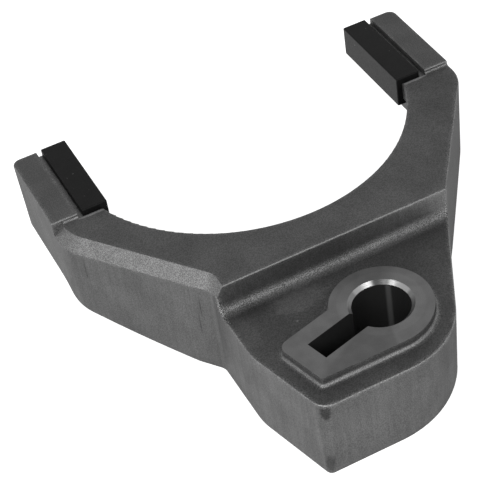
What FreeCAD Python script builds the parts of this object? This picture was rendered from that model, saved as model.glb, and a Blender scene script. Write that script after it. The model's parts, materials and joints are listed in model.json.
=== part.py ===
"""Transmission shift fork: a cast yoke with a bored rail boss, and two wear pads clipped onto its tips.

The rail bore stands on the Z axis, the flat base is at z = 0 and the fork opens towards +Y.
The arms mirror each other in X. The boss does not, because its keyway leaves the bore towards -X.
"""
import FreeCAD, Part
import math
import os
from FreeCAD import Vector

# Driving dimensions, in millimetres and degrees.

# Rail boss, seen from above
rail_bore_diameter = 22.0
bore_chamfer = 1.4
keyway_width = 9.6
keyway_reach = 32.0            # from the bore's axis to the keyway's square end
keyway_angle = 15.0            # from -X towards -Y
boss_right_reach = 27.0        # from the bore's axis to the right wall
boss_right_lean = 28.0         # of the right wall, from the Y axis
boss_front_reach = 30.6        # from the bore's axis to the front wall
boss_left_reach = 50.8         # from the bore's axis to the left wall
boss_keyway_reach = 47.6       # from the bore's axis to the wall beyond the keyway
boss_nose_radius = 30.0        # between the right wall and the front wall, at the tip blocks' height
boss_nose_base_radius = 42.0   # the same, at the base
boss_corner_radius = 8.7       # between the front wall and the keyway wall, at the tip blocks' height
boss_corner_base_radius = 2.5  # the same, at the base
boss_cheek_radius = 30.0       # between the keyway wall and the left wall

# Machined face raised on the boss
face_ring_radius = 19.3        # round the bore
face_front_reach = 21.2        # from the bore's axis to the front edge
face_keyway_reach = 40.1       # from the bore's axis to the edge beyond the keyway
face_back_reach = 12.0         # from the keyway's middle line to the back edge
face_nose_shift = 2.0          # of the nose arc's centre from the bore's axis, towards -X
face_corner_radius = 1.2
face_back_corner_radius = 4.0
face_rise = 4.0
face_foot_fillet = 1.8

# Heights above the base
arm_height = 48.0
recess_height = 36.2           # cast floor in front of the step
tip_underside_height = 17.0
tip_block_rise = 1.9           # above the arm

# Step between the arms and the recess
step_reach = 32.6              # from the bore's axis to the step's top edge
step_lean = 6.0
step_foot_radius = 4.5

# Fork opening and arms
clutch_axis_reach = 121.5      # from the bore's axis to the clutch axis
opening_radius = 71.2          # at the arms' top face
opening_draft = 4.5
shoulder_offset = 22.3         # from the clutch axis back to the shoulders
tip_offset = 23.4              # from the clutch axis on to the tips' ends
arm_root_half_width = 47.7     # outer walls, where they cross the step
arm_lean = 35.9                # of the outer walls, from the Y axis
arm_corner_radius = 18.0       # where an arm's outer wall meets its tip, and the right one the boss
arm_root_radius = 6.0          # where the left arm leaves the boss
tip_corner_radius = 3.5
wall_draft = 1.0
keyway_wall_draft = 0.2        # of the boss's left wall and the wall beyond the keyway

# Bevel along the left arm's outer edge, and its width along each wall
bevel_depth = 4.7
bevel_on_arm = 4.7
bevel_on_tip = 4.2
bevel_on_boss = 3.4

# Underside of the arms, one long arc from the base to the tips
base_end_reach = 48.0          # from the bore's axis to the end of the flat base
underside_end_offset = 18.9    # from the clutch axis back to the start of the tips' level underside
underside_bulge = 1.4
underside_blend_radius = 20.0  # where the arc meets the level underside
tip_end_radius = 8.0           # under the tips' ends

# Wear pads and the tongues that carry them
pad_gap = 130.4                # between the two pads
pad_width = 10.7
pad_height = 13.5
pad_length = 45.5
pad_web = 2.5
pad_flange = 2.9
pad_rise = 1.9                 # above the arm
pad_end_clearance = 0.7        # to the shoulder
pad_edge_radius = 0.5
tongue_ledge = 2.25            # strip of tongue that stays bare beside the pad
tip_block_width = 11.0
tongue_root_relief = 2.7       # below the tongue, past the shoulder
shoulder_chamfer = 0.8         # where the arm's top drops to the tongue

# Edges as cast
edge_radius = 0.8
base_edge_radius = 1.2
block_foot_fillet = 1.0

# How near an edge has to lie to what names it, and a drafted wall's edge to the wall's outline
edge_match = 0.02
wall_match = 0.3

# Places worked out from the dimensions above
rail_bore_radius = rail_bore_diameter / 2
face_height = recess_height + face_rise
shoulder_y = clutch_axis_reach - shoulder_offset
underside_end_y = clutch_axis_reach - underside_end_offset
tip_y = clutch_axis_reach + tip_offset
pad_inner_x = pad_gap / 2
tongue_inner_x = pad_inner_x + pad_web
pad_outer_x = pad_inner_x + pad_width
block_inner_x = pad_outer_x + tongue_ledge
tip_outer_x = block_inner_x + tip_block_width
block_height = arm_height + tip_block_rise
pad_top = arm_height + pad_rise
pad_bottom = pad_top - pad_height
tongue_bottom = pad_bottom + pad_flange
tongue_top = pad_top - pad_flange
beyond = 2 * tip_y             # well outside the part


def direction(degrees):
    """Unit vector in the plan, measured from +X towards +Y."""
    angle = math.radians(degrees)
    return Vector(math.cos(angle), math.sin(angle), 0)


keyway_way = direction(180 + keyway_angle)
keyway_side = direction(90 + keyway_angle)
boss_right_way = direction(-boss_right_lean)
arm_right_way = direction(-arm_lean)
arm_left_way = direction(180 + arm_lean)


def crossing(first, second):
    """Point where two plan lines meet, each given as its outward direction and its reach."""
    (a, p), (b, q) = first, second
    spread = a.x * b.y - a.y * b.x
    return Vector((p * b.y - q * a.y) / spread, (a.x * q - b.x * p) / spread, 0)


def rounded_wire(lines, radii, height):
    """Closed wire at a height. Its sides are the lines, and corner i joins side i to side i + 1."""
    count = len(lines)
    corners = [crossing(lines[i], lines[(i + 1) % count]) for i in range(count)]
    starts, ends, mids = [], [], []
    for i, corner in enumerate(corners):
        back = (corners[i - 1] - corner).normalize()
        on = (corners[(i + 1) % count] - corner).normalize()
        half = back.getAngle(on) / 2
        run = radii[i] / math.tan(half)
        middle = (back + on).normalize()
        starts.append(corner + back * run)
        ends.append(corner + on * run)
        mids.append(corner + middle * (radii[i] / math.sin(half) - radii[i]))
    edges = []
    for i in range(count):
        edges.append(Part.Arc(starts[i], mids[i], ends[i]).toShape())
        edges.append(Part.LineSegment(ends[i], starts[(i + 1) % count]).toShape())
    wire = Part.Wire(edges)
    wire.translate(Vector(0, 0, height))
    return wire


def casting_outline(inset, height):
    """Outer outline of the casting. Inset gives how far each of its nine sides moves inwards."""
    low_share = (block_height - height) / block_height
    nose_growth = (boss_nose_base_radius - boss_nose_radius) * low_share
    corner_growth = (boss_corner_base_radius - boss_corner_radius) * low_share
    arm_reach_x = arm_root_half_width * arm_right_way.x + step_reach * arm_right_way.y
    sides = [
        (direction(0), tip_outer_x),
        (arm_right_way, arm_reach_x),
        (boss_right_way, boss_right_reach),
        (direction(-90), boss_front_reach),
        (keyway_way, boss_keyway_reach),
        (direction(180), boss_left_reach),
        (arm_left_way, arm_reach_x),
        (direction(180), tip_outer_x),
        (direction(90), tip_y),
    ]
    radii = [
        arm_corner_radius,
        arm_corner_radius,
        boss_nose_radius + nose_growth,
        boss_corner_radius + corner_growth,
        boss_cheek_radius,
        arm_root_radius,
        arm_corner_radius,
        tip_corner_radius,
        tip_corner_radius,
    ]
    return rounded_wire([(way, reach - move) for (way, reach), move in zip(sides, inset)], radii, height)


def box(low_x, high_x, low_y, high_y, low_z, high_z):
    """Block between two corners."""
    return Part.makeBox(high_x - low_x, high_y - low_y, high_z - low_z, Vector(low_x, low_y, low_z))


def mirrored(shape):
    """The same shape on the other arm."""
    return shape.mirror(Vector(0, 0, 0), Vector(1, 0, 0))


def profile_along_x(points_and_arcs):
    """Bar across the whole part. Its YZ section is made of (start, end) lines and (start, mid, end) arcs."""
    edges = []
    for item in points_and_arcs:
        points = [Vector(-beyond, y, z) for y, z in item]
        if len(points) == 3:
            edges.append(Part.Arc(*points).toShape())
        else:
            edges.append(Part.LineSegment(*points).toShape())
    return Part.Face(Part.Wire(edges)).extrude(Vector(2 * beyond, 0, 0))


def wall_insets(height):
    """How far each of the nine outer walls stands in from the tip blocks' top outline at a height."""
    drafts = [wall_draft] * 4 + [keyway_wall_draft] * 2 + [wall_draft] * 2 + [0]
    return [(block_height - height) * math.tan(math.radians(draft)) for draft in drafts]


def hull():
    """Outside of the casting up to the tip blocks' tops, narrowing downwards by the wall draft."""
    base = casting_outline(wall_insets(0), 0)
    top = casting_outline(wall_insets(block_height), block_height)
    return Part.makeLoft([base, top], True, True)


def above_arms():
    """Space over the arms, which ends at the tip blocks' near walls in a small round foot."""
    space = box(-beyond, beyond, -beyond, shoulder_y, arm_height, beyond)
    r = block_foot_fillet
    rod_centre = Vector(block_inner_x, shoulder_y - r, arm_height + r)
    foot = box(block_inner_x, beyond, shoulder_y - r, shoulder_y, arm_height, arm_height + r)
    foot = foot.cut(Part.makeCylinder(r, beyond, rod_centre, Vector(1, 0, 0)))
    return space.cut([foot, mirrored(foot)])


def above_recess():
    """Space over the boss, which ends at the leaning step with a round foot."""
    lean = math.radians(step_lean)
    r = step_foot_radius
    foot_y = step_reach - (arm_height - recess_height) * math.tan(lean)
    run = r * math.tan(math.radians(90 - step_lean) / 2)
    centre_y = foot_y - run
    centre_z = recess_height + r
    wall_y = foot_y + run * math.sin(lean)
    wall_z = recess_height + run * math.cos(lean)
    turn = math.radians(-90 + (90 - step_lean) / 2)
    mid_y = centre_y + r * math.cos(turn)
    mid_z = centre_z + r * math.sin(turn)
    top_y = step_reach + (beyond - arm_height) * math.tan(lean)
    return profile_along_x([
        ((-beyond, recess_height), (centre_y, recess_height)),
        ((centre_y, recess_height), (mid_y, mid_z), (wall_y, wall_z)),
        ((wall_y, wall_z), (top_y, beyond)),
        ((top_y, beyond), (-beyond, beyond)),
        ((-beyond, beyond), (-beyond, recess_height)),
    ])


def below_arms():
    """Space under the arms: one long arc from the flat base up to the tips' level underside."""
    run = underside_end_y - base_end_reach
    length = math.hypot(run, tip_underside_height)
    mid = (base_end_reach + run / 2 + underside_bulge * tip_underside_height / length,
           tip_underside_height / 2 - underside_bulge * run / length)
    start = (base_end_reach, 0)
    end = (underside_end_y, tip_underside_height)
    space = profile_along_x([
        (start, mid, end),
        (end, (beyond, tip_underside_height)),
        ((beyond, tip_underside_height), (beyond, -beyond)),
        ((beyond, -beyond), (base_end_reach, -beyond)),
        ((base_end_reach, -beyond), start),
    ])
    return rounded(space, underside_blend_radius,
                   lambda edge: level_at(edge, tip_underside_height) and at_underside_end(edge))


def below_tip_ends():
    """What the round under the tips' far ends takes off."""
    r = tip_end_radius
    level = tip_underside_height
    slant = r * (1 - math.sqrt(0.5))
    return profile_along_x([
        ((tip_y - r, level), (tip_y - slant, level + slant), (tip_y, level + r)),
        ((tip_y, level + r), (beyond, level + r)),
        ((beyond, level + r), (beyond, -beyond)),
        ((beyond, -beyond), (tip_y - r, -beyond)),
        ((tip_y - r, -beyond), (tip_y - r, level)),
    ])


def fork_opening():
    """Drafted round opening for the clutch, and the straight run between the tongues."""
    widening = arm_height * math.tan(math.radians(opening_draft))
    cone = Part.makeCone(opening_radius + widening, opening_radius, arm_height,
                         Vector(0, clutch_axis_reach, 0))
    above = Part.makeCylinder(opening_radius, beyond, Vector(0, clutch_axis_reach, arm_height))
    between = box(-tongue_inner_x, tongue_inner_x, -beyond, beyond, -beyond, beyond)
    mouth = box(-tongue_inner_x, tongue_inner_x, clutch_axis_reach, beyond, -beyond, beyond)
    return cone.fuse(above).common(between).fuse(mouth)


def beside_tongue():
    """Space over and under the right tongue, where the pad's two flanges go, and the shoulder's chamfer."""
    over = box(0, block_inner_x, shoulder_y, beyond, tongue_top, beyond)
    under = box(0, block_inner_x, shoulder_y - tongue_root_relief, beyond, -beyond, tongue_bottom)
    low = arm_height - shoulder_chamfer
    near = shoulder_y - shoulder_chamfer
    slant = profile_along_x([
        ((near, arm_height), (shoulder_y, low)),
        ((shoulder_y, low), (beyond, low)),
        ((beyond, low), (beyond, beyond)),
        ((beyond, beyond), (near, beyond)),
        ((near, beyond), (near, arm_height)),
    ])
    slant = slant.common(box(0, block_inner_x, 0, beyond, 0, beyond))
    return over.fuse([under, slant])


def left_bevel():
    """What the bevel takes off the left arm's outer edge, from the step to the tip block."""
    moves = [0, 0, 0, 0, 0, bevel_on_boss, bevel_on_arm, bevel_on_tip, 0]
    low_line = arm_height - bevel_depth
    insets = wall_insets(low_line)
    outward = [inset - move for inset, move in zip(insets, moves)]
    inward = [inset + 2 * move for inset, move in zip(insets, moves)]
    wide = casting_outline(outward, low_line - bevel_depth)
    narrow = casting_outline(inward, low_line + 2 * bevel_depth)
    kept = Part.makeLoft([wide, narrow], True, True)
    start = step_reach - 2 * step_foot_radius
    reach = box(-beyond, 0, start, shoulder_y, low_line - bevel_depth, low_line + 2 * bevel_depth)
    return reach.cut(kept)


def raised_face():
    """Machined face round the bore and along the keyway, as a block from the base up."""
    nose_radius = (face_nose_shift ** 2 + face_front_reach ** 2 - face_ring_radius ** 2)
    nose_radius /= 2 * (face_front_reach - face_ring_radius)
    nose_centre = Vector(-face_nose_shift, nose_radius - face_front_reach, 0)
    front = (direction(-90), face_front_reach)
    end = (keyway_way, face_keyway_reach)
    back = (keyway_side, face_back_reach)
    front_corner = crossing(front, end)
    back_corner = crossing(end, back)
    ring_run = math.sqrt(face_ring_radius ** 2 - face_back_reach ** 2)
    throat = keyway_way * ring_run + keyway_side * face_back_reach
    merge = (nose_centre * -1).normalize() * face_ring_radius
    ring_mid = direction(90) * face_ring_radius
    nose_start = Vector(-face_nose_shift, -face_front_reach, 0)
    nose_mid = nose_centre + direction(-45) * nose_radius
    outline = Part.Wire([
        Part.Arc(throat, ring_mid, merge).toShape(),
        Part.Arc(merge, nose_mid, nose_start).toShape(),
        Part.LineSegment(nose_start, front_corner).toShape(),
        Part.LineSegment(front_corner, back_corner).toShape(),
        Part.LineSegment(back_corner, throat).toShape(),
    ])
    block = Part.Face(outline).extrude(Vector(0, 0, face_height))
    block = rounded(block, face_corner_radius, lambda e: upright_at(e, front_corner))
    return rounded(block, face_back_corner_radius, lambda e: upright_at(e, back_corner))


def rail_bore():
    """Through bore with the lead-in chamfer at the machined face."""
    bore = Part.makeCylinder(rail_bore_radius, face_height)
    mouth = Part.makeCone(rail_bore_radius, rail_bore_radius + bore_chamfer, bore_chamfer,
                          Vector(0, 0, face_height - bore_chamfer))
    return bore.fuse(mouth)


def keyway():
    """Square-ended slot that leaves the bore through the whole boss."""
    slot = box(0, keyway_reach, -keyway_width / 2, keyway_width / 2, 0, face_height)
    slot.rotate(Vector(0, 0, 0), Vector(0, 0, 1), 180 + keyway_angle)
    return slot


def middle(edge):
    """Point half-way along an edge."""
    return edge.valueAt((edge.FirstParameter + edge.LastParameter) / 2)


def level_at(edge, height):
    """Whether an edge lies flat at a height."""
    return abs(edge.BoundBox.ZMin - height) < edge_match and abs(edge.BoundBox.ZMax - height) < edge_match


def upright_at(edge, corner):
    """Whether an edge stands upright over a corner of a plan."""
    point = middle(edge)
    away = math.hypot(point.x - corner.x, point.y - corner.y)
    return not level_at(edge, point.z) and away < edge_match


def at_underside_end(edge):
    """Whether an edge stands where the underside's arc ends."""
    return abs(middle(edge).y - underside_end_y) < edge_match


def on_outer_wall(edge):
    """Whether the middle of an edge lies on the casting's drafted outer wall."""
    point = middle(edge)
    outline = casting_outline(wall_insets(point.z), point.z)
    return outline.distToShape(Part.Vertex(point))[0] < wall_match


def rounded(shape, radius, chosen):
    """The shape with every chosen edge filleted."""
    return shape.makeFillet(radius, [edge for edge in shape.Edges if chosen(edge)])


def at_face_foot(edge, face):
    """Whether an edge runs where the raised face's wall meets the recess floor."""
    points = [Vector(point.x, point.y, recess_height) for point in edge.discretize(5)]
    return level_at(edge, recess_height) and all(face.isInside(point, edge_match, True) for point in points)


def on_low_rim(edge):
    """Whether an edge runs round the casting where its outer wall meets the base or the underside."""
    return edge.BoundBox.ZMax < tip_underside_height + edge_match and on_outer_wall(edge)


def on_block_rim(edge):
    """Whether an edge is at the top of a tip block, apart from the cut side towards the tongue."""
    return level_at(edge, block_height) and abs(middle(edge).x) > block_inner_x + edge_match


def on_opening_rim(edge):
    """Whether an edge is the top rim of the round fork opening."""
    point = middle(edge)
    from_axis = math.hypot(point.x, point.y - clutch_axis_reach)
    return level_at(edge, arm_height) and abs(from_axis - opening_radius) < edge_match


def on_recess_rim(edge):
    """Whether an edge is the recess floor's outer rim. Its rounding runs on up the step and along its top."""
    return level_at(edge, recess_height) and on_outer_wall(edge)


def on_right_arm_rim(edge):
    """Whether an edge is the top outer edge of the arm that has no bevel."""
    point = middle(edge)
    return level_at(edge, arm_height) and point.x > 0 and point.y < shoulder_y and on_outer_wall(edge)


def fork_casting():
    """The yoke, its boss, the tongues and the tip blocks in one piece."""
    spaces = [above_arms(), above_recess(), below_arms(), fork_opening(), left_bevel(),
              beside_tongue(), mirrored(beside_tongue())]
    face = raised_face()
    casting = hull().cut(spaces).fuse(face).removeSplitter()
    casting = rounded(casting, face_foot_fillet, lambda edge: at_face_foot(edge, face))
    casting = casting.cut([rail_bore(), keyway()]).removeSplitter()
    casting = rounded(casting, edge_radius, on_right_arm_rim)
    casting = rounded(casting, base_edge_radius, on_low_rim).cut(below_tip_ends())
    casting = rounded(casting, edge_radius, on_block_rim)
    casting = rounded(casting, edge_radius, on_opening_rim)
    casting = rounded(casting, edge_radius, on_recess_rim)
    return casting.Solids[0]


def right_pad():
    """Plastic channel that clips over the right tongue, open towards the tip block."""
    near_y = shoulder_y + pad_end_clearance
    pad = box(pad_inner_x, pad_outer_x, near_y, near_y + pad_length, pad_bottom, pad_top)
    pad = pad.makeFillet(pad_edge_radius, pad.Edges)
    return pad.cut(box(tongue_inner_x, beyond, -beyond, beyond, tongue_bottom, tongue_top))


def main():
    """Build every piece and write one file for each."""
    os.makedirs("parts", exist_ok=True)
    pieces = {
        "fork_casting": fork_casting(),
        "right_pad": right_pad(),
        "left_pad": mirrored(right_pad()),
    }
    for name, shape in pieces.items():
        shape.exportStep(os.path.join("parts", name + ".step"))
        print(name, "solids", len(shape.Solids), "valid", shape.isValid(), "volume", round(shape.Volume, 1))


main()
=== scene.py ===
"""Looks of a transmission shift fork: its cast yoke, its wear pads and the plain studio round them."""

import json
import logging
import math
from dataclasses import dataclass
from enum import Enum

import bpy
from mathutils import Matrix, Vector

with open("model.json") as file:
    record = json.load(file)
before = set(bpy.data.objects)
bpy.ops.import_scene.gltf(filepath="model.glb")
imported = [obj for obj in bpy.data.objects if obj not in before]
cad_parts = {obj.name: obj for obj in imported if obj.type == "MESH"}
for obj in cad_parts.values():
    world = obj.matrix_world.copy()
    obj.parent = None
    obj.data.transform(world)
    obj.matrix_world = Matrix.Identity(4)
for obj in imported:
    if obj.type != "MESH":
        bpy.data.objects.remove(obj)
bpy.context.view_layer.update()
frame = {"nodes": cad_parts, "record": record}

MILLIMETRE = 0.001
NOISE_SPAN = (0.3, 0.7)
Node = bpy.types.Node
Socket = bpy.types.NodeSocket
PART_MIDDLE = Vector((0.0, 0.05, 0.03))
log = logging.getLogger("shift_fork")


class Sum(Enum):
    """Kinds of arithmetic that the node sheets use."""

    ADD = "ADD"
    SUBTRACT = "SUBTRACT"
    MULTIPLY = "MULTIPLY"
    MAXIMUM = "MAXIMUM"
    ABSOLUTE = "ABSOLUTE"
    LESS = "LESS_THAN"
    GREATER = "GREATER_THAN"
    ROOT = "SQRT"
    ANGLE = "ARCTAN2"


class NodeSheet:
    """A node tree with short calls for the nodes that the finishes are made of."""

    def __init__(self, tree: bpy.types.NodeTree) -> None:
        """Empty the tree and hold it."""
        tree.nodes.clear()
        self.tree = tree

    def add(self, kind: str, **settings: object) -> Node:
        """Add a node.

        Args:
            kind: Blender's name for the node's type.
            settings: Properties to set on it.

        Returns:
            The new node.
        """
        node = self.tree.nodes.new(kind)
        for name, value in settings.items():
            setattr(node, name, value)
        return node

    def feed(self, socket: Socket, source: object) -> None:
        """Link a socket to another, or set it to a plain value.

        Args:
            socket: Input to feed.
            source: Output socket, or the value.
        """
        if isinstance(source, Socket):
            self.tree.links.new(source, socket)
        else:
            socket.default_value = source

    def sum(self, kind: Sum, first: object, second: object = 0.0) -> Socket:
        """Do one step of arithmetic.

        Args:
            kind: Which step.
            first: Socket or number.
            second: Socket or number, unused by steps that take one.

        Returns:
            The result's socket.
        """
        node = self.add("ShaderNodeMath", operation=kind.value)
        self.feed(node.inputs[0], first)
        self.feed(node.inputs[1], second)
        return node.outputs[0]

    def ramp(self, value: Socket, low: float, high: float, start: float = 0.0, end: float = 1.0) -> Socket:
        """Ease from one number to another as a value passes from low to high.

        Args:
            value: What drives the change.
            low: Value at the start.
            high: Value at the end.
            start: Result at and before low.
            end: Result at and after high.

        Returns:
            The eased result's socket.
        """
        node = self.add("ShaderNodeMapRange", interpolation_type="SMOOTHSTEP")
        for index, source in enumerate((value, low, high, start, end)):
            self.feed(node.inputs[index], source)
        return node.outputs[0]

    def noise(self, at: Socket, size: float, detail: float = 2.0, rough: float = 0.5) -> Socket:
        """Solid noise.

        Args:
            at: Point in the part's frame, in metres.
            size: Size of one patch, in metres.
            detail: How many finer layers it has.
            rough: How strong the finer layers are.

        Returns:
            Socket with a value round a half.
        """
        node = self.add("ShaderNodeTexNoise")
        self.feed(node.inputs["Vector"], at)
        node.inputs["Scale"].default_value = 1.0 / size
        node.inputs["Detail"].default_value = detail
        node.inputs["Roughness"].default_value = rough
        return node.outputs["Fac"]

    def stretched(self, at: Socket, scale: tuple[float, float, float]) -> Socket:
        """Scale the three parts of a point.

        Args:
            at: Point in the part's frame.
            scale: Factor for each part.

        Returns:
            The scaled point's socket.
        """
        node = self.add("ShaderNodeMapping")
        self.feed(node.inputs["Vector"], at)
        node.inputs["Scale"].default_value = scale
        return node.outputs[0]

    def from_axis(self, parts: Node) -> Socket:
        """Measure the distance from the bore's axis.

        Args:
            parts: Node with the point's X, Y and Z.

        Returns:
            The distance's socket, in metres.
        """
        x, y, _ = parts.outputs
        squares = self.sum(Sum.ADD, self.sum(Sum.MULTIPLY, x, x), self.sum(Sum.MULTIPLY, y, y))
        return self.sum(Sum.ROOT, squares)

    def away(self, at: Socket, centre: tuple[float, ...], reach: tuple[float, ...]) -> Socket:
        """Measure how far a point is from the middle of an ellipsoid, as a share of its reach.

        Args:
            at: Point in the part's frame, in metres.
            centre: Middle of the ellipsoid, in metres.
            reach: Its three half sizes, in metres.

        Returns:
            The share's socket.
        """
        offset = self.add("ShaderNodeVectorMath", operation="SUBTRACT")
        self.feed(offset.inputs[0], at)
        offset.inputs[1].default_value = centre
        share = self.add("ShaderNodeVectorMath", operation="DIVIDE")
        self.feed(share.inputs[0], offset.outputs[0])
        share.inputs[1].default_value = reach
        length = self.add("ShaderNodeVectorMath", operation="LENGTH")
        self.feed(length.inputs[0], share.outputs[0])
        return length.outputs["Value"]

    def mix(self, share: Socket, first: object, second: object) -> Socket:
        """Blend two numbers.

        Args:
            share: Share of the second.
            first: Socket or number.
            second: Socket or number.

        Returns:
            The blend's socket.
        """
        node = self.add("ShaderNodeMix", data_type="FLOAT", clamp_factor=True)
        self.feed(node.inputs[0], share)
        self.feed(node.inputs[2], first)
        self.feed(node.inputs[3], second)
        return node.outputs[0]

    def grey(self, level: Socket) -> Socket:
        """Turn a level into a grey colour.

        Args:
            level: The grey level.

        Returns:
            The colour's socket.
        """
        node = self.add("ShaderNodeCombineColor")
        for channel in node.inputs:
            self.feed(channel, level)
        return node.outputs[0]

    def bump(self, height: Socket, depth: float) -> Socket:
        """Bump a surface.

        Args:
            height: Height from 0 to 1.
            depth: What a height of 1 stands for, in metres.

        Returns:
            The bumped normal's socket.
        """
        node = self.add("ShaderNodeBump")
        node.inputs["Distance"].default_value = depth
        self.feed(node.inputs["Height"], height)
        return node.outputs[0]


def new_material(name: str) -> tuple[bpy.types.Material, NodeSheet]:
    """Start a material.

    Args:
        name: The material's name.

    Returns:
        The material and its empty sheet of nodes.
    """
    material = bpy.data.materials.new(name)
    material.use_nodes = True
    return material, NodeSheet(material.node_tree)


def record_mount(name: str) -> dict:
    """The record's mount of that name."""
    return next(mount for mount in frame["record"]["mounts"] if mount["name"] == name)


@dataclass(frozen=True)
class ForkPlaces:
    """Places on the casting that its finish depends on, in metres."""

    bore_radius: float
    face_height: float
    slot_half_width: float = 4.9 * MILLIMETRE
    slot_reach: float = 32.1 * MILLIMETRE
    slot_angle: float = math.radians(15.0)
    chamfer: float = 1.5 * MILLIMETRE
    rim_depth: float = 1.95 * MILLIMETRE
    boss_end: float = 28.0 * MILLIMETRE
    step_foot: tuple[float, float] = (24.5 * MILLIMETRE, 41.5 * MILLIMETRE)
    ring_radius: float = 16.2 * MILLIMETRE
    ring_border: float = 0.4 * MILLIMETRE
    face_margin: tuple[float, float] = (0.15 * MILLIMETRE, 0.05 * MILLIMETRE)
    arm_edge: tuple[float, float] = (44.0 * MILLIMETRE, 45.0 * MILLIMETRE)
    upper_edges: tuple[float, float] = (31.0 * MILLIMETRE, 34.0 * MILLIMETRE)

    @classmethod
    def from_record(cls) -> "ForkPlaces":
        """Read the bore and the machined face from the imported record.

        Returns:
            The places.
        """
        bore = record_mount("rail_bore")
        face = record_mount("machined_face")
        return cls(bore_radius=bore["dims"]["r_mm"] * MILLIMETRE, face_height=face["pos_m"][2])


@dataclass(frozen=True)
class Arc:
    """Part of the way round the bore, in degrees from +X. Each end fades over the soft angle."""

    low: float
    high: float
    soft: float

    def mask(self, sheet: NodeSheet, angle: Socket) -> Socket:
        """Mark the arc.

        Args:
            sheet: Nodes to add to.
            angle: Angle round the bore, in radians.

        Returns:
            The mask.
        """
        start, end, fade = math.radians(self.low), math.radians(self.high), math.radians(self.soft) / 2
        rising = sheet.ramp(angle, start - fade, start + fade)
        falling = sheet.ramp(angle, end - fade, end + fade, 1.0, 0.0)
        return sheet.sum(Sum.MULTIPLY, rising, falling)


@dataclass(frozen=True)
class Spot:
    """A patch of the cast skin that is lighter or darker than the rest, in millimetres."""

    centre: tuple[float, float, float]
    reach: tuple[float, float, float]
    tone: float

    def tint(self, sheet: NodeSheet, at: Socket, ragged: Socket, level: Socket) -> Socket:
        """Tint a grey level inside the patch.

        Args:
            sheet: Nodes to add to.
            at: Point in the part's frame.
            ragged: Small shift that frays the border.
            level: The level so far.

        Returns:
            The tinted level's socket.
        """
        centre = tuple(part * MILLIMETRE for part in self.centre)
        reach = tuple(part * MILLIMETRE for part in self.reach)
        away = sheet.sum(Sum.ADD, sheet.away(at, centre, reach), ragged)
        share = sheet.ramp(away, 0.45, 1.0, 1.0, 0.0)
        return sheet.sum(Sum.MULTIPLY, level, sheet.mix(share, 1.0, self.tone))


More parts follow.
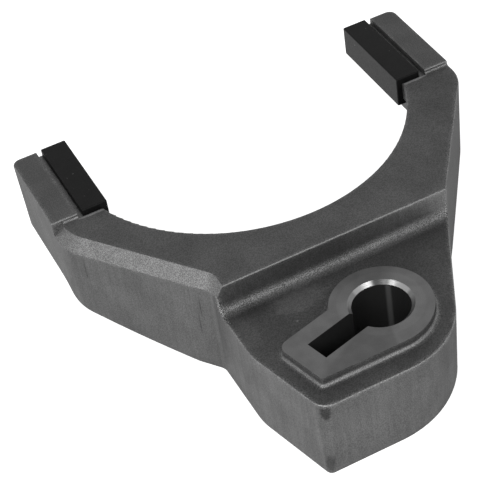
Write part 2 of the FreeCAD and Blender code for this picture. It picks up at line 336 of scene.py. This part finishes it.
@dataclass(frozen=True)
class CastSteel:
    """Shot-blasted cast steel, with wear and painted sheen on slanted faces, painted highlights and shade,
    and the surfaces that a cutter left brighter.
    """

    places: ForkPlaces
    skin: float = 0.105
    # Grey of the wear on rounded edges and of the painted sheen on every slanted face
    worn_and_sheen: float = 0.215
    cut: float = 0.212
    # Grey of the bore and keyway walls, darker than the face: painted shade inside the hole
    bore_painted_shade: float = 0.10
    # Greys of the bore's chamfer: its cut grey, then painted shade and painted highlights on arcs round it
    cut_chamfer: float = 0.24
    chamfer_shade_level: float = 0.08
    chamfer_highlight_level: float = 0.42
    # Grey of the painted highlight streak in the bore
    bore_highlight_level: float = 0.34
    # Share of that wear and painted sheen kept in the hollow at the step's foot
    foot_sheen_share: float = 0.18
    # Strength of the painted highlight beside the upper edges
    edge_highlight_strength: float = 1.0
    edge_reach: float = 2.6 * MILLIMETRE
    # Painted light and shade by the way a face points: high tops, all walls, left-facing and right-facing
    # walls
    top_painted_light: float = 1.25
    wall_painted_light: float = 1.12
    left_painted_light: float = 1.30
    right_painted_shade: float = 0.70
    spots: tuple[Spot, ...] = (
        # Darker patches on the boss's front corner
        Spot((-39.8, -29.4, 32.5), (2.8, 2.8, 4.2), 0.36),
        Spot((-40.5, -29.8, 6.0), (2.8, 2.8, 5.0), 0.62),
        # Draw scratches down the left arm
        Spot((-54.3, 42.3, 33.5), (0.20, 6.0, 6.0), 0.6),
        Spot((-55.1, 43.3, 23.0), (0.20, 6.0, 6.5), 0.6),
        Spot((-84.0, 83.4, 35.5), (0.22, 6.0, 7.5), 0.7),
        # Pale patches and one speck on the low floor, and painted shade in the dull patch by the step's wall
        Spot((-22.4, 21.6, 36.2), (14.0, 8.0, 3.0), 1.45),
        Spot((-38.0, 27.0, 36.2), (9.0, 5.0, 3.0), 0.85),
        Spot((-28.4, 12.6, 36.2), (0.7, 0.7, 1.0), 1.9),
        Spot((-46.5, 16.0, 36.2), (6.0, 11.0, 3.0), 1.22),
        # Painted shade on the step's wall, and the top of the right arm made darker
        Spot((0.0, 32.0, 43.5), (62.0, 2.2, 7.5), 0.84),
        Spot((82.0, 80.0, 48.0), (20.0, 26.0, 3.0), 0.85),
        # Painted highlights on the arms in front of the pads, and painted light on the tongues beside them
        Spot((-71.5, 98.1, 48.0), (8.5, 1.1, 1.0), 3.0),
        Spot((71.5, 98.1, 48.0), (8.5, 1.1, 1.0), 3.0),
        Spot((-77.2, 122.0, 47.0), (1.6, 40.0, 0.8), 1.9),
        Spot((77.2, 122.0, 47.0), (1.6, 40.0, 0.8), 1.9),
    )
    # Painted highlight: a narrow bright streak down the bore's wall
    bore_painted_highlight: Arc = Arc(43.0, 53.0, 6.0)
    # Painted highlights on two arcs of the chamfer, painted shade on the arc between them
    chamfer_painted_highlights: tuple[Arc, Arc] = (Arc(2.0, 40.0, 8.0), Arc(79.0, 118.0, 8.0))
    chamfer_painted_shade: Arc = Arc(46.0, 76.0, 8.0)
    # Painted shade on the machined face, in a sector towards the back and one at the front-left
    face_painted_shade_back: Arc = Arc(45.0, 118.0, 40.0)
    face_shade_back_level: float = 0.66
    face_painted_shade_front: Arc = Arc(-150.0, -104.0, 6.0)
    face_shade_front_level: float = 0.80
    worn_and_sheen_from: tuple[float, float] = (0.22, 0.48)
    worn_and_sheen_until: tuple[float, float] = (0.80, 0.92)
    edge_turn: tuple[float, float] = (0.975, 0.999)
    left_facing: tuple[float, float] = (-0.97, -0.85)
    right_facing: tuple[float, float] = (0.62, 0.80)
    wall_facing: tuple[float, float] = (0.15, 0.4)
    fleck_span: tuple[float, float] = (0.36, 0.54)
    level_up: float = 0.9
    slanted_up: float = 0.35
    metallic: float = 0.85
    grazing: float = 0.4
    skin_roughness: float = 0.50
    worn_roughness: float = 0.55
    cut_roughness: float = 0.36
    blotch_swing: tuple[float, float] = (0.90, 1.08)
    grain_swing: tuple[float, float] = (0.80, 1.22)
    streak_swing: tuple[float, float] = (0.93, 1.06)
    grain: float = 0.45 * MILLIMETRE
    sparkle: float = 0.30 * MILLIMETRE
    blotch: float = 14.0 * MILLIMETRE
    fray: float = 2.5 * MILLIMETRE
    worn_and_sheen_fray: float = 1.6 * MILLIMETRE
    worn_and_sheen_patch: float = 4.0 * MILLIMETRE
    edge_patch: float = 5.0 * MILLIMETRE
    swell: float = 5.0 * MILLIMETRE
    streak_width: float = 1.8 * MILLIMETRE
    streak_shrink: tuple[float, float, float] = (1.0, 1.0, 0.06)
    grain_depth: float = 0.07 * MILLIMETRE
    tool_pitch: float = 0.35 * MILLIMETRE

    def material(self) -> bpy.types.Material:
        """Build the finish.

        Returns:
            The material for the casting.
        """
        material, sheet = new_material("cast_steel")
        at = sheet.add("ShaderNodeTexCoord").outputs["Object"]
        parts = sheet.add("ShaderNodeSeparateXYZ")
        sheet.feed(parts.inputs[0], at)
        facing = sheet.add("ShaderNodeSeparateXYZ")
        sheet.feed(facing.inputs[0], sheet.add("ShaderNodeNewGeometry").outputs["Normal"])
        cut_face, cut_hole, chamfer = self.cut_masks(sheet, parts, facing)
        cut = sheet.sum(Sum.MAXIMUM, cut_face, cut_hole)
        # Wear on rounded edges and the bevel, and painted sheen on every slanted face, hollow fillets too
        worn_and_sheen = self.worn_and_sheen_mask(sheet, at, facing, cut)
        foot_sheen = self.foot_sheen_mask(sheet, parts)
        worn_and_sheen = sheet.sum(Sum.MULTIPLY, worn_and_sheen, sheet.mix(foot_sheen, 1.0, self.foot_sheen_share))
        # Painted highlights beside the upper edges take the same grey
        worn_and_sheen = sheet.sum(Sum.MAXIMUM, worn_and_sheen, self.painted_edge_highlight(sheet, at, parts, cut))

        level = self.skin_level(sheet, at, parts, facing)
        level = sheet.mix(worn_and_sheen, level, self.worn_and_sheen_level(sheet, at, foot_sheen))
        level = sheet.mix(cut_face, level, self.cut_level(sheet, at, parts))
        round_axis = sheet.sum(Sum.ANGLE, parts.outputs[1], parts.outputs[0])
        # The bore and keyway: painted shade, with the painted highlight streak in the bore
        bore_painted_highlight = self.bore_painted_highlight.mask(sheet, round_axis)
        level = sheet.mix(cut_hole, level, sheet.mix(bore_painted_highlight, self.bore_painted_shade, self.bore_highlight_level))
        # The bore's chamfer: painted highlights on two arcs, painted shade on the arc between them
        bright = sheet.sum(Sum.MAXIMUM, *(arc.mask(sheet, round_axis) for arc in self.chamfer_painted_highlights))
        shade = self.chamfer_painted_shade.mask(sheet, round_axis)
        ring = sheet.mix(shade, sheet.mix(bright, self.cut_chamfer, self.chamfer_highlight_level), self.chamfer_shade_level)
        level = sheet.mix(chamfer, level, ring)
        roughness = sheet.mix(worn_and_sheen, self.skin_roughness, self.worn_roughness)
        roughness = sheet.mix(cut, roughness, self.cut_roughness)

        shader = sheet.add("ShaderNodeBsdfPrincipled")
        shader.inputs["Metallic"].default_value = self.metallic
        shader.inputs["Specular Tint"].default_value = (self.grazing,) * 3 + (1.0,)
        sheet.feed(shader.inputs["Base Color"], sheet.grey(level))
        sheet.feed(shader.inputs["Roughness"], roughness)
        sheet.feed(shader.inputs["Normal"], self.surface(sheet, at, parts, cut))
        out = sheet.add("ShaderNodeOutputMaterial")
        sheet.feed(out.inputs["Surface"], shader.outputs[0])
        return material

    def cut_masks(self, sheet: NodeSheet, parts: Node, facing: Node) -> tuple[Socket, ...]:
        """Find what was machined.

        Args:
            sheet: Nodes to add to.
            parts: Node with the point's X, Y and Z.
            facing: Node with the normal's X, Y and Z.

        Returns:
            Masks of the raised face, of the bore and the keyway, and of the bore's chamfer.
        """
        x, y, z = parts.outputs
        place = self.places
        near_face = sheet.ramp(z, *(place.face_height - margin for margin in place.face_margin))
        near_rim = sheet.sum(Sum.GREATER, z, place.face_height - place.rim_depth)
        on_boss = sheet.sum(Sum.LESS, y, place.boss_end)
        flat = sheet.sum(Sum.GREATER, facing.outputs[2], self.level_up)
        face = sheet.sum(Sum.MULTIPLY, sheet.sum(Sum.MULTIPLY, near_face, on_boss), flat)

        in_bore = sheet.sum(Sum.LESS, sheet.from_axis(parts), place.bore_radius + place.chamfer)
        cosine, sine = math.cos(place.slot_angle), math.sin(place.slot_angle)
        along = sheet.sum(Sum.SUBTRACT, sheet.sum(Sum.MULTIPLY, x, -cosine), sheet.sum(Sum.MULTIPLY, y, sine))
        across = sheet.sum(Sum.SUBTRACT, sheet.sum(Sum.MULTIPLY, y, cosine), sheet.sum(Sum.MULTIPLY, x, sine))
        narrow = sheet.sum(Sum.LESS, sheet.sum(Sum.ABSOLUTE, across), place.slot_half_width)
        short = sheet.sum(Sum.LESS, along, place.slot_reach)
        ahead = sheet.sum(Sum.GREATER, along, 0.0)
        in_slot = sheet.sum(Sum.MULTIPLY, sheet.sum(Sum.MULTIPLY, narrow, short), ahead)
        within = sheet.sum(Sum.MAXIMUM, in_bore, in_slot)
        not_level = sheet.sum(Sum.LESS, facing.outputs[2], self.level_up)
        hole = sheet.sum(Sum.MULTIPLY, within, not_level)
        tilted = sheet.sum(Sum.GREATER, facing.outputs[2], self.slanted_up)
        slanted = sheet.sum(Sum.MULTIPLY, tilted, not_level)
        chamfer = sheet.sum(Sum.MULTIPLY, sheet.sum(Sum.MULTIPLY, slanted, in_bore), near_rim)
        return face, hole, chamfer

    def foot_sheen_mask(self, sheet: NodeSheet, parts: Node) -> Socket:
        """Find the hollow at the step's foot, where the painted sheen is thinner and sparkles more.

        Args:
            sheet: Nodes to add to.
            parts: Node with the point's X, Y and Z.

        Returns:
            The mask.
        """
        _, y, z = parts.outputs
        start, top = self.places.step_foot
        return sheet.sum(Sum.MULTIPLY, sheet.sum(Sum.GREATER, y, start), sheet.sum(Sum.LESS, z, top))

    def worn_and_sheen_mask(self, sheet: NodeSheet, at: Socket, facing: Node, cut: Socket) -> Socket:
        """Find slanted faces, where rounded edges and the bevel show wear, and where all of them, hollow
        fillets too, get painted sheen.

        Args:
            sheet: Nodes to add to.
            at: Point in the part's frame.
            facing: Node with the normal's X, Y and Z.
            cut: Mask of the machined surfaces.

        Returns:
            The mask, with ragged borders.
        """
        ragged = sheet.noise(at, self.worn_and_sheen_fray, 3.0, 0.6)
        shift = sheet.sum(Sum.MULTIPLY, sheet.sum(Sum.SUBTRACT, ragged, 0.5), 0.3)
        up = sheet.sum(Sum.ADD, facing.outputs[2], shift)
        rising = sheet.ramp(up, *self.worn_and_sheen_from)
        falling = sheet.ramp(up, *self.worn_and_sheen_until, 1.0, 0.0)
        cast = sheet.sum(Sum.SUBTRACT, 1.0, cut)
        return sheet.sum(Sum.MULTIPLY, sheet.sum(Sum.MULTIPLY, rising, falling), cast)

    def painted_edge_highlight(self, sheet: NodeSheet, at: Socket, parts: Node, cut: Socket) -> Socket:
        """Find the strips beside the upper edges, where a highlight is painted, patchy and in small flecks.

        Args:
            sheet: Nodes to add to.
            at: Point in the part's frame.
            parts: Node with the point's X, Y and Z.
            cut: Mask of the machined surfaces.

        Returns:
            The mask, broken into small flecks.
        """
        # Painted highlight: within reach of an upper edge the skin takes the bright grey, in flecks and
        # patches
        softened = sheet.add("ShaderNodeBevel")
        softened.inputs["Radius"].default_value = self.edge_reach
        turn = sheet.add("ShaderNodeVectorMath", operation="DOT_PRODUCT")
        sheet.feed(turn.inputs[0], softened.outputs[0])
        sheet.feed(turn.inputs[1], sheet.add("ShaderNodeNewGeometry").outputs["Normal"])
        near = sheet.ramp(turn.outputs["Value"], *self.edge_turn, 1.0, 0.0)
        flecks = sheet.ramp(sheet.noise(at, self.grain, 1.0), *self.fleck_span)
        patches = sheet.ramp(sheet.noise(at, self.edge_patch, 2.0), 0.35, 0.65, 0.35, 1.0)
        high = sheet.ramp(parts.outputs[2], *self.places.upper_edges)
        cast = sheet.sum(Sum.SUBTRACT, 1.0, cut)
        share = sheet.sum(Sum.MULTIPLY, sheet.sum(Sum.MULTIPLY, near, high), cast)
        thin = sheet.sum(Sum.MULTIPLY, sheet.sum(Sum.MULTIPLY, flecks, patches), self.edge_highlight_strength)
        return sheet.sum(Sum.MULTIPLY, share, thin)

    def skin_level(self, sheet: NodeSheet, at: Socket, parts: Node, facing: Node) -> Socket:
        """Grey of the cast skin: blotches, fine grain, draw marks down the walls, painted light and shade by
        the way each face points, and single spots, a few of them painted shade or highlights.

        Args:
            sheet: Nodes to add to.
            at: Point in the part's frame.
            parts: Node with the point's X, Y and Z.
            facing: Node with the normal's X, Y and Z.

        Returns:
            The grey level's socket.
        """
        blotches = sheet.ramp(sheet.noise(at, self.blotch, 3.0), *NOISE_SPAN, *self.blotch_swing)
        grain = sheet.ramp(sheet.noise(at, self.grain, 1.0), *NOISE_SPAN, *self.grain_swing)
        streaks = sheet.noise(sheet.stretched(at, self.streak_shrink), self.streak_width, 2.0)
        streaks = sheet.ramp(streaks, *NOISE_SPAN, *self.streak_swing)
        wall = sheet.ramp(sheet.sum(Sum.ABSOLUTE, facing.outputs[2]), *self.wall_facing, 1.0, 0.0)
        level = sheet.sum(Sum.MULTIPLY, blotches, grain)
        level = sheet.sum(Sum.MULTIPLY, level, sheet.mix(wall, 1.0, streaks))
        # Painted light on walls, more on left-facing ones, painted shade on right-facing ones, and painted
        # light on the high tops
        left = sheet.ramp(facing.outputs[0], *self.left_facing, self.left_painted_light, 1.0)
        right = sheet.ramp(facing.outputs[0], *self.right_facing, 1.0, self.right_painted_shade)
        painted_side_light = sheet.sum(Sum.MULTIPLY, sheet.sum(Sum.MULTIPLY, left, right), self.wall_painted_light)
        high = sheet.ramp(parts.outputs[2], *self.places.arm_edge, 1.0, self.top_painted_light)
        level = sheet.sum(Sum.MULTIPLY, level, sheet.mix(wall, high, painted_side_light))
        frayed = sheet.sum(Sum.SUBTRACT, sheet.noise(at, self.fray, 3.0, 0.6), 0.5)
        for spot in self.spots:
            level = spot.tint(sheet, at, frayed, level)
        return sheet.sum(Sum.MULTIPLY, level, self.skin)

    def worn_and_sheen_level(self, sheet: NodeSheet, at: Socket, foot_sheen: Socket) -> Socket:
        """Grey of the wear and painted sheen on slanted faces, which sparkle most at the step's foot.

        Args:
            sheet: Nodes to add to.
            at: Point in the part's frame.
            foot_sheen: Mask of the step's foot.

        Returns:
            The grey level's socket.
        """
        swing = sheet.ramp(sheet.noise(at, self.sparkle, 0.0), 0.35, 0.65, -1.0, 1.0)
        sparkle = sheet.sum(Sum.ADD, 1.0, sheet.sum(Sum.MULTIPLY, swing, sheet.mix(foot_sheen, 0.34, 1.5)))
        patches = sheet.ramp(sheet.noise(at, self.worn_and_sheen_patch, 2.0), *NOISE_SPAN, 0.94, 1.06)
        return sheet.sum(Sum.MULTIPLY, sheet.sum(Sum.MULTIPLY, sparkle, patches), self.worn_and_sheen)

    def cut_level(self, sheet: NodeSheet, at: Socket, parts: Node) -> Socket:
        """Grey of the machined face, with the ring that the spot-facing cutter left, and painted shade over
        two sectors round the bore.

        Args:
            sheet: Nodes to add to.
            at: Point in the part's frame.
            parts: Node with the point's X, Y and Z.

        Returns:
            The grey level's socket.
        """
        x, y, _ = parts.outputs
        ring, border = self.places.ring_radius, self.places.ring_border
        inside = sheet.ramp(sheet.from_axis(parts), ring - border, ring + border, 1.06, 0.97)
        soft = sheet.ramp(sheet.noise(at, 6.0 * MILLIMETRE, 2.0), *NOISE_SPAN, 0.92, 1.08)
        fine = sheet.ramp(sheet.noise(at, 0.3 * MILLIMETRE, 1.0), *NOISE_SPAN, 0.93, 1.07)
        # Painted shade over two sectors of the face round the bore
        angle = sheet.sum(Sum.ANGLE, y, x)
        back = sheet.mix(self.face_painted_shade_back.mask(sheet, angle), 1.0, self.face_shade_back_level)
        front = sheet.mix(self.face_painted_shade_front.mask(sheet, angle), 1.0, self.face_shade_front_level)
        painted_face_shade = sheet.sum(Sum.MULTIPLY, back, front)
        level = sheet.sum(Sum.MULTIPLY, sheet.sum(Sum.MULTIPLY, inside, soft), fine)
        return sheet.sum(Sum.MULTIPLY, sheet.sum(Sum.MULTIPLY, level, painted_face_shade), self.cut)

    def surface(self, sheet: NodeSheet, at: Socket, parts: Node, cut: Socket) -> Socket:
        """Relief of the skin, and the fine turning marks on the machined surfaces.

        Args:
            sheet: Nodes to add to.
            at: Point in the part's frame.
            parts: Node with the point's X, Y and Z.
            cut: Mask of the machined surfaces.

        Returns:
            The normal's socket.
        """
        turned = sheet.add("ShaderNodeTexNoise", noise_dimensions="1D")
        sheet.feed(turned.inputs["W"], sheet.from_axis(parts))
        turned.inputs["Scale"].default_value = 1.0 / self.tool_pitch
        grain = sheet.noise(at, self.grain, 2.0, 0.6)
        swell = sheet.noise(at, self.swell, 2.0)
        height = sheet.sum(Sum.ADD, grain, sheet.sum(Sum.MULTIPLY, swell, 1.5))
        height = sheet.mix(cut, height, sheet.sum(Sum.MULTIPLY, turned.outputs["Fac"], 0.2))
        return sheet.bump(height, self.grain_depth)


@dataclass(frozen=True)
class PadPlastic:
    """Matte black moulded plastic with a fine texture and a few pale specks."""

    black: float = 0.005
    gloss: float = 0.16
    speck: float = 0.12
    texture: float = 0.5 * MILLIMETRE
    depth: float = 0.025 * MILLIMETRE

    def material(self) -> bpy.types.Material:
        """Build the finish.

        Returns:
            The material for the pads.
        """
        material, sheet = new_material("pad_plastic")
        at = sheet.add("ShaderNodeTexCoord").outputs["Object"]
        tone = sheet.ramp(sheet.noise(at, 5.0 * MILLIMETRE, 3.0), *NOISE_SPAN, 0.85, 1.15)
        level = sheet.sum(Sum.MULTIPLY, tone, self.black)
        specks = sheet.ramp(sheet.noise(at, 0.9 * MILLIMETRE, 0.0), 0.86, 0.89)
        level = sheet.mix(specks, level, self.speck)
        fine = sheet.noise(at, self.texture, 2.0)
        shader = sheet.add("ShaderNodeBsdfPrincipled")
        shader.inputs["Specular IOR Level"].default_value = self.gloss
        sheet.feed(shader.inputs["Base Color"], sheet.grey(level))
        sheet.feed(shader.inputs["Roughness"], sheet.ramp(fine, *NOISE_SPAN, 0.44, 0.54))
        sheet.feed(shader.inputs["Normal"], sheet.bump(fine, self.depth))
        out = sheet.add("ShaderNodeOutputMaterial")
        sheet.feed(out.inputs["Surface"], shader.outputs[0])
        return material


@dataclass(frozen=True)
class ForkAssembly:
    """The cast yoke and the wear pads on its tips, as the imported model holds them."""

    casting: str = "fork_casting"
    pads: tuple[str, ...] = ("left_pad", "right_pad")

    def dress(self) -> None:
        """Give each node its finish, and report it."""
        self.cover(self.casting, CastSteel(ForkPlaces.from_record()).material())
        plastic = PadPlastic().material()
        for pad in self.pads:
            self.cover(pad, plastic)

    def cover(self, node: str, material: bpy.types.Material) -> None:
        """Put one finish on a node.

        Args:
            node: Name of the node.
            material: Its finish.
        """
        piece = frame["nodes"][node]
        piece.data.materials.clear()
        piece.data.materials.append(material)
        log.info("%s: %d faces, finish %s", node, len(piece.data.polygons), material.name)


@dataclass(frozen=True)
class Camera:
    """The camera, with the place, turn and lens that the photo's straight edges give."""

    place: tuple[float, float, float] = (-0.1861, -0.3858, 0.4635)
    azimuth: float = math.radians(-19.54)
    elevation: float = math.radians(41.85)
    roll: float = math.radians(-9.94)
    sensor: float = 36.0
    lens: float = 124.4

    def build(self) -> None:
        """Make the camera and use it for the scene."""
        sin_a, cos_a = math.sin(self.azimuth), math.cos(self.azimuth)
        sin_e, cos_e = math.sin(self.elevation), math.cos(self.elevation)
        back = Vector((sin_a * cos_e, -cos_a * cos_e, sin_e))
        level = Vector((cos_a, sin_a, 0.0))
        rise = back.cross(level)
        right = level * math.cos(self.roll) + rise * math.sin(self.roll)
        up = rise * math.cos(self.roll) - level * math.sin(self.roll)
        lens = bpy.data.cameras.new("camera")
        lens.sensor_width = self.sensor
        lens.lens = self.lens
        lens.clip_start, lens.clip_end = 0.01, 20.0
        camera = bpy.data.objects.new("camera", lens)
        turn = Matrix((right, up, back)).transposed().to_4x4()
        camera.matrix_world = Matrix.Translation(self.place) @ turn
        bpy.context.scene.collection.objects.link(camera)
        bpy.context.scene.camera = camera


@dataclass(frozen=True)
class SoftLamp:
    """A square lamp that points at the middle of the part."""

    name: str
    place: tuple[float, float, float]
    side: float
    power: float

    def build(self) -> None:
        """Make the lamp."""
        light = bpy.data.lights.new(self.name, "AREA")
        light.shape = "SQUARE"
        light.size = self.side
        light.energy = self.power
        lamp = bpy.data.objects.new(self.name, light)
        aim = PART_MIDDLE - Vector(self.place)
        lamp.rotation_euler = aim.to_track_quat("-Z", "Y").to_euler()
        lamp.location = self.place
        bpy.context.scene.collection.objects.link(lamp)


@dataclass(frozen=True)
class Studio:
    """Pale floor, white surroundings that darken overhead, and soft lamps."""

    lamps: tuple[SoftLamp, ...] = (
        SoftLamp("key_lamp", (-0.75, -0.55, 0.75), 0.55, 7.0),
        SoftLamp("front_lamp", (0.25, -0.95, 0.85), 0.45, 3.5),
    )
    floor_half: float = 3.0
    floor_grey: float = 0.86
    lift: float = 0.75
    ambient: float = 0.42
    overhead: float = 0.48
    overhead_from: tuple[float, float] = (0.25, 0.62)
    dark_middle: tuple[float, float] = (-10.0 * MILLIMETRE, -3.0 * MILLIMETRE)
    dark_radius: float = 24.5 * MILLIMETRE

    def build(self) -> None:
        """Make the floor, the surroundings and the lamps."""
        self.floor()
        self.surroundings()
        for lamp in self.lamps:
            lamp.build()
        log.info("studio: %d lamps", len(self.lamps))

    def floor(self) -> None:
        """Make the floor, which is seen lifted towards white, apart from where the bore stands on it."""
        half = self.floor_half
        mesh = bpy.data.meshes.new("floor")
        corners = [(-half, -half, 0.0), (half, -half, 0.0), (half, half, 0.0), (-half, half, 0.0)]
        mesh.from_pydata(corners, [], [(0, 1, 2, 3)])
        material, sheet = new_material("floor")
        centre = sheet.add("ShaderNodeVectorMath", operation="DISTANCE")
        sheet.feed(centre.inputs[0], sheet.add("ShaderNodeTexCoord").outputs["Object"])
        centre.inputs[1].default_value = (*self.dark_middle, 0.0)
        outside = sheet.sum(Sum.GREATER, centre.outputs["Value"], self.dark_radius)
        seen = sheet.sum(Sum.MULTIPLY, self.seen(sheet), outside)
        shader = sheet.add("ShaderNodeBsdfPrincipled")
        shader.inputs["Base Color"].default_value = (self.floor_grey,) * 3 + (1.0,)
        shader.inputs["Roughness"].default_value = 0.9
        shader.inputs["Specular IOR Level"].default_value = 0.0
        shader.inputs["Emission Color"].default_value = (1.0, 1.0, 1.0, 1.0)
        sheet.feed(shader.inputs["Emission Strength"], sheet.sum(Sum.MULTIPLY, seen, self.lift))
        out = sheet.add("ShaderNodeOutputMaterial")
        sheet.feed(out.inputs["Surface"], shader.outputs[0])
        mesh.materials.append(material)
        floor = bpy.data.objects.new("floor", mesh)
        bpy.context.scene.collection.objects.link(floor)

    def seen(self, sheet: NodeSheet) -> Socket:
        """Tell the rays that see the surroundings from those that light the part.

        Args:
            sheet: Nodes to add to.

        Returns:
            One for camera, glossy and transmission rays, and nought for the rest.
        """
        path = sheet.add("ShaderNodeLightPath")
        seen = sheet.sum(Sum.MAXIMUM, path.outputs["Is Camera Ray"], path.outputs["Is Glossy Ray"])
        return sheet.sum(Sum.MAXIMUM, seen, path.outputs["Is Transmission Ray"])

    def surroundings(self) -> None:
        """Make the world: a plain level of light, seen as white low down and grey overhead."""
        world = bpy.data.worlds.new("studio")
        world.use_nodes = True
        bpy.context.scene.world = world
        sheet = NodeSheet(world.node_tree)
        way = sheet.add("ShaderNodeSeparateXYZ")
        sheet.feed(way.inputs[0], sheet.add("ShaderNodeTexCoord").outputs["Generated"])
        shown = sheet.ramp(way.outputs[2], *self.overhead_from, 1.0, self.overhead)
        strength = sheet.mix(self.seen(sheet), self.ambient, shown)
        background = sheet.add("ShaderNodeBackground")
        background.inputs["Color"].default_value = (1.0, 1.0, 1.0, 1.0)
        sheet.feed(background.inputs["Strength"], strength)
        out = sheet.add("ShaderNodeOutputWorld")
        sheet.feed(out.inputs["Surface"], background.outputs[0])


def main() -> None:
    """Dress the part, build the studio round it and set the camera."""
    logging.basicConfig(level=logging.INFO)
    bpy.context.scene.view_settings.view_transform = "Standard"
    Camera().build()
    ForkAssembly().dress()
    Studio().build()


if __name__ == "__main__":
    main()
